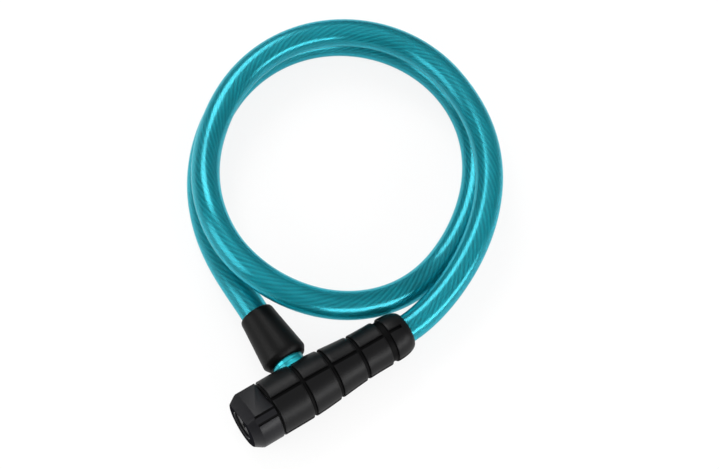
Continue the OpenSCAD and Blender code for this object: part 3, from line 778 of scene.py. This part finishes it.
class CABLELOCK_OT_cover(bpy.types.Operator):
    """Soft cover of the body with its ring and lengthwise grooves"""

    bl_idname = "cable_lock.cover"
    bl_label = "Cover"

    def execute(self, context):
        s = sizes()
        depth, edge = s.groove_depth / MM, s.edge / MM
        outer = [(cover_r(COVER_X) - edge, COVER_X), (cover_r(COVER_X), COVER_X + edge),
                 (BODY_R, 22), (BODY_R, 28)]
        marks = [SHOULDER_X + i * 1.6 for i in range(36)] + [DOME_X + i for i in range(0, 10)]
        for x in marks:
            if all(abs(x - g) > w / 2 + 1.3 * edge for g, w in RINGS):
                outer.append((cover_r(x), x))
        for g, w in RINGS:
            for x, down in ((g - w / 2 - edge, 0), (g - w / 2 - edge * 0.3, edge * 0.3), (g - w / 2, edge),
                            (g - w / 2, depth), (g + w / 2, depth), (g + w / 2, edge),
                            (g + w / 2 + edge * 0.3, edge * 0.3), (g + w / 2 + edge, 0)):
                outer.append((cover_r(x) - down, x + (1e-4 if down == depth else 0) * (1 if x < g else -1)))
        outer.sort(key=lambda p: p[1])
        outer += [(cover_r(LOCK_LEN - d), LOCK_LEN - d) for d in (0.4, 0.15)]
        outer += [(CABLE_BORE + 1, LOCK_LEN), (CABLE_BORE + 0.3, LOCK_LEN), (CABLE_BORE, LOCK_LEN - 0.3)]
        inner = [(CABLE_BORE, ANCHOR_END), (ANCHOR_BORE, ANCHOR_END), (ANCHOR_BORE, ANCHOR_START),
                 (HOUSING_BORE, ANCHOR_START), (HOUSING_BORE, CAP_LEN + 0.05), (LIP_R, CAP_LEN + 0.05),
                 (LIP_R, COVER_X)]
        obj = lathe("cover", outer + inner, 96, centre=(KEY_X, AXIS_Y, AXIS_Z), turn=LONG_TURN + 1.875)
        top, floor = soft_cover(), groove_shade_rubber()
        slots(obj, top, floor)
        # groove floors and walls, and the lip under the gap, take the darker rubber: painted shade in the
        # recesses
        for f in obj.data.polygons:
            x = (f.center.x - KEY_X) / MM
            r = math.hypot(f.center.y - AXIS_Y, f.center.z - AXIS_Z) / MM
            if x < COVER_X or (any(abs(x - g) < w / 2 + 0.01 for g, w in RINGS)
                               and 10 < r < cover_r(x) - 0.6 * edge - 0.1):
                f.material_index = 1
        for k in range(LONG_GROOVES):
            tool = groove_cutter(LONG_TURN + 360 / LONG_GROOVES * k, s.groove_depth, s.edge)
            slots(tool, top, floor)
            # the long grooves' cut faces take the darker rubber: painted shade in the grooves
            for f in tool.data.polygons:
                f.material_index = 1
            cut_with(obj, tool)
        lone()
        bpy.ops.mesh.primitive_cylinder_add(
            vertices=64, radius=PORT_R * MM, depth=0.02, location=(KEY_X + PLUG_X * MM, AXIS_Y + 0.01, AXIS_Z),
            rotation=(math.pi / 2, 0, 0))
        tool = context.object
        settle(tool)
        slots(tool, top, floor)
        cut_with(obj, tool)
        smooth(obj, 32)
        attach(obj, "lock_body")
        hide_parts("rubber_jacket")
        return {"FINISHED"}


class CABLELOCK_OT_cap(bpy.types.Operator):
    """Hard cap at the key end with its bevelled facets"""

    bl_idname = "cable_lock.cap"
    bl_label = "Cap"

    def execute(self, context):
        outline = [(7.7, 0.0), (CAP_FACE_R, 0), (CAP_FACE_R + 0.8, 0.3), (BODY_R - 0.6, CAP_CHAMFER - 1.2),
                   (BODY_R, CAP_CHAMFER), (BODY_R, CAP_LEN - 0.15), (BODY_R - 0.15, CAP_LEN), (9.75, CAP_LEN),
                   (9.75, 5.1), (7.9, 5.1), (7.9, 2.0), (7.2, 2.0), (7.2, 0.5)]
        obj = lathe("cap", outline, 96, centre=(KEY_X, AXIS_Y, AXIS_Z))
        plain, facet, seam, face = hard_cap(), facet_painted_light(), groove_shade_rubber(), end_face()
        slots(obj, plain, facet, seam, face)
        base = Vector((KEY_X, AXIS_Y, AXIS_Z))

        def slice_off(angle, distance, tilt, material):
            """Cuts away what is outside a plane; the plane leans by tilt towards the key end."""
            out = round_body(angle)
            n = (out * math.cos(tilt) - Vector((1, 0, 0)) * math.sin(tilt)).normalized()
            on_plane = base + out * (distance * MM)
            lone(obj)
            edit_all()
            bpy.ops.mesh.bisect(plane_co=on_plane, plane_no=n, use_fill=True, clear_outer=True)
            bpy.ops.object.mode_set(mode="OBJECT")
            for f in obj.data.polygons:
                if f.normal.dot(n) > 0.9999 and abs((f.center - on_plane).dot(n)) < WELD:
                    f.material_index = material

        lean = math.atan2(FACET_BEVEL, CAP_CHAMFER + 0.5)
        # both flats take the lighter plastic: painted reflection
        slice_off(STRIP_AT, STRIP_D, 0, 1)
        slice_off(FACET_MID, FACET_D, 0, 1)
        slice_off(FACET_MID, FACET_D - FACET_BEVEL, lean, 0)
        lone(obj)
        edit_all()
        bpy.ops.mesh.remove_doubles(threshold=2e-5)
        end_edit()
        m = obj.modifiers.new("round", "BEVEL")
        m.width, m.segments, m.limit_method, m.angle_limit = 0.28 * MM, 2, "ANGLE", math.radians(14)
        m.use_clamp_overlap = True
        apply_all(obj)
        for angle, width in SEAMS:
            out = round_body(angle) * (BODY_R * MM)
            lone()
            bpy.ops.mesh.primitive_cube_add(
                size=1, location=base + out + Vector(((SEAM_X + CAP_LEN + 1) / 2 * MM, 0, 0)),
                rotation=(math.radians(-angle), 0, 0),
                scale=((CAP_LEN + 1 - SEAM_X) * MM, width * MM, 2 * SEAM_DEPTH * MM))
            tool = context.object
            settle(tool)
            slots(tool, plain, facet, seam, face)
            # the seams' cut faces take the darker rubber: painted shade in the seams
            for f in tool.data.polygons:
                f.material_index = 2
            cut_with(obj, tool)
        for f in obj.data.polygons:
            if f.center.x - KEY_X < 0.6 * MM and f.normal.x < -0.9:
                f.material_index = 3
        smooth(obj, 30)
        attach(obj, "lock_body")
        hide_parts("end_cap")
        return {"FINISHED"}


class CABLELOCK_OT_grip(bpy.types.Operator):
    """Tapered grip of the plug"""

    bl_idname = "cable_lock.grip"
    bl_label = "Grip"

    def execute(self, context):
        # the big end with its bevel, the taper, the rounded small end, and the bore
        outline = [(8.5, 16.6), (9.6, 16.65), (10.4, 17.2), (11.7, 19.2), (11.9, 19.7), (11.95, 20.3)]
        outline += [(11.95 - 2.7 * i / 12, 20.3 + 24.3 * i / 12) for i in range(1, 12)]
        outline += [(9.3 - 1.1 * (1 - math.cos(a)), 44.6 + 2.4 * math.sin(a))
                    for a in (math.radians(15 * i) for i in range(7))]
        outline += [(7.75, PLUG_REACH), (7.7, 46.6), (7.7, 35.8), (7.0, 35.8), (7.0, 20.2), (8.5, 20.2)]
        obj = lathe("grip", outline, 96, axis="Y", centre=(KEY_X + PLUG_X * MM, AXIS_Y, AXIS_Z))
        slots(obj, grip_plastic())
        smooth(obj, 40)
        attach(obj, "plug")
        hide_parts("plug_sleeve")
        return {"FINISHED"}


class CABLELOCK_OT_finishes(bpy.types.Operator):
    """Materials of the pieces that keep the solids' shapes"""

    bl_idname = "cable_lock.finishes"
    bl_label = "Finishes"

    def execute(self, context):
        zinc = metal("cast_zinc", (0.42, 0.42, 0.44), 0.35, 0.5)
        steel = metal("turned_steel", (0.62, 0.62, 0.64), 0.22, 0.36, (1, 1, 6))
        brass = metal("brass", (0.75, 0.56, 0.25), 0.22, 0.35)
        front = metal("satin_nickel", (0.12, 0.12, 0.12), 0.36, 0.48)
        hard = metal("ground_steel", (0.75, 0.76, 0.78), 0.12, 0.22, (6, 1, 6))
        finishes = {
            zinc: ("housing_left", "housing_right"),
            steel: ("housing_rivets", "cylinder_pin", "wafer_springs", "drive_cam", "cam_screw", "plug_ferrule",
                    "plug_cross_pin", "anchor_ferrule", "anchor_pin"),
            brass: ("cylinder_sleeve", "wafers", "locking_slide"),
            front: ("key_cylinder",),
            hard: ("locking_pin",),
            collar_plastic(): ("plug_collar",),
            seal_rubber(): ("pin_seal",),
        }
        for material, nodes in finishes.items():
            for node in nodes:
                slots(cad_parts[node], material)
        return {"FINISHED"}


class CABLELOCK_PT_panel(bpy.types.Panel):
    """Steps and sizes of the cable lock"""

    bl_idname = "CABLELOCK_PT_panel"
    bl_label = "Cable Lock"
    bl_space_type = "VIEW_3D"
    bl_region_type = "UI"
    bl_category = "Cable Lock"

    def draw(self, context):
        for step in STEPS:
            self.layout.operator(step.bl_idname)
        for group in (context.scene.cable_lock_sizes, context.scene.cable_lock_finish):
            for name in group.__annotations__:
                self.layout.prop(group, name)


STEPS = (CABLELOCK_OT_stage, CABLELOCK_OT_rope, CABLELOCK_OT_sheath, CABLELOCK_OT_cover, CABLELOCK_OT_cap,
         CABLELOCK_OT_grip, CABLELOCK_OT_finishes)
CLASSES = (CableLockSizes, CableLockFinish, *STEPS, CABLELOCK_PT_panel)


def register():
    for c in CLASSES:
        bpy.utils.register_class(c)
    bpy.types.Scene.cable_lock_sizes = bpy.props.PointerProperty(type=CableLockSizes)
    bpy.types.Scene.cable_lock_finish = bpy.props.PointerProperty(type=CableLockFinish)


def unregister():
    del bpy.types.Scene.cable_lock_finish
    del bpy.types.Scene.cable_lock_sizes
    for c in reversed(CLASSES):
        bpy.utils.unregister_class(c)


def main():
    register()
    bpy.ops.cable_lock.stage()
    bpy.ops.cable_lock.rope()
    bpy.ops.cable_lock.sheath()
    bpy.ops.cable_lock.cover()
    bpy.ops.cable_lock.cap()
    bpy.ops.cable_lock.grip()
    bpy.ops.cable_lock.finishes()
    lone()


if __name__ == "__main__":
    main()
